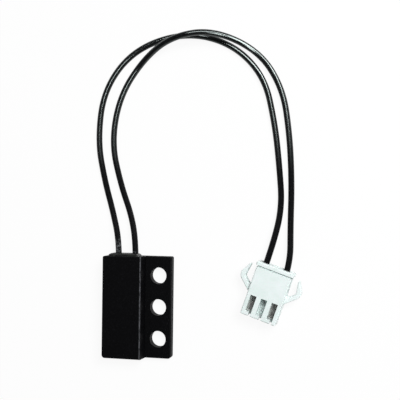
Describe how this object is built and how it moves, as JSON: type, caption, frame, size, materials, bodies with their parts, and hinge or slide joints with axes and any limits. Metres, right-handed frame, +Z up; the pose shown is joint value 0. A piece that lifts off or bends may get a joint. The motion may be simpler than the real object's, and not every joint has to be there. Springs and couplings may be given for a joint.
{
  "type": "reed switch",
  "caption": "Flange-mount magnetic reed switch: potted moulded case, wire leads and a snap-in panel connector.",
  "frame": {"origin": "under the middle of the switch, on its mounting face, with the dome of the potting compound counted and the wires and plug left out", "axes": "+X from the raised box towards the flange, +Y towards the end where the wires leave, +Z up out of the mounting face"},
  "size_m": [0.0597, 0.0916, 0.0063],
  "materials": {
    "case_black": "moulded, fine matt texture",
    "potting_black": "cast resin, uneven skin",
    "capsule_glass": "clear, drawn",
    "reed_metal": "annealed nickel-iron",
    "sleeve_white": "extruded",
    "solder": "dull solder",
    "tinned_copper": "tinned",
    "wire_black": "smooth extruded insulation",
    "nylon_white": "natural nylon, slightly translucent",
    "contact_tin": "tin plated sheet"
  },
  "bodies": {
    "switch": {"sensor_housing": "case_black", "potting_compound": "potting_black", "glass_capsule": "capsule_glass", "reed_lead_a": "reed_metal", "reed_lead_b": "reed_metal", "lead_sleeve": "sleeve_white", "solder_joint_a": "solder", "solder_joint_b": "solder", "tinned_end_a": "tinned_copper", "tinned_end_b": "tinned_copper", "wire_a": "wire_black", "wire_b": "wire_black", "connector_housing": "nylon_white", "terminal_a": "contact_tin", "terminal_b": "contact_tin", "crimped_end_a": "tinned_copper", "crimped_end_b": "tinned_copper"},
    "reed_a": {"reed_blade_a": "reed_metal"},
    "reed_b": {"reed_blade_b": "reed_metal"}
  },
  "joints": [
    {"name": "reed_a_close", "type": "hinge", "parent": "switch", "child": "reed_a", "pos_m": [-0.00505, 0.0035, 0.00333], "axis": [1, 0, 0], "range_deg": [0, 0.955], "stiffness_Nm_per_rad": 0.0002},
    {"name": "reed_b_close", "type": "hinge", "parent": "switch", "child": "reed_b", "pos_m": [-0.00505, -0.0031, 0.00301], "axis": [1, 0, 0], "range_deg": [0, 0.955], "stiffness_Nm_per_rad": 0.0002}
  ],
  "couplings": [
    {"joint": "reed_b_close", "follows": "reed_a_close", "ratio": 1}
  ]
}
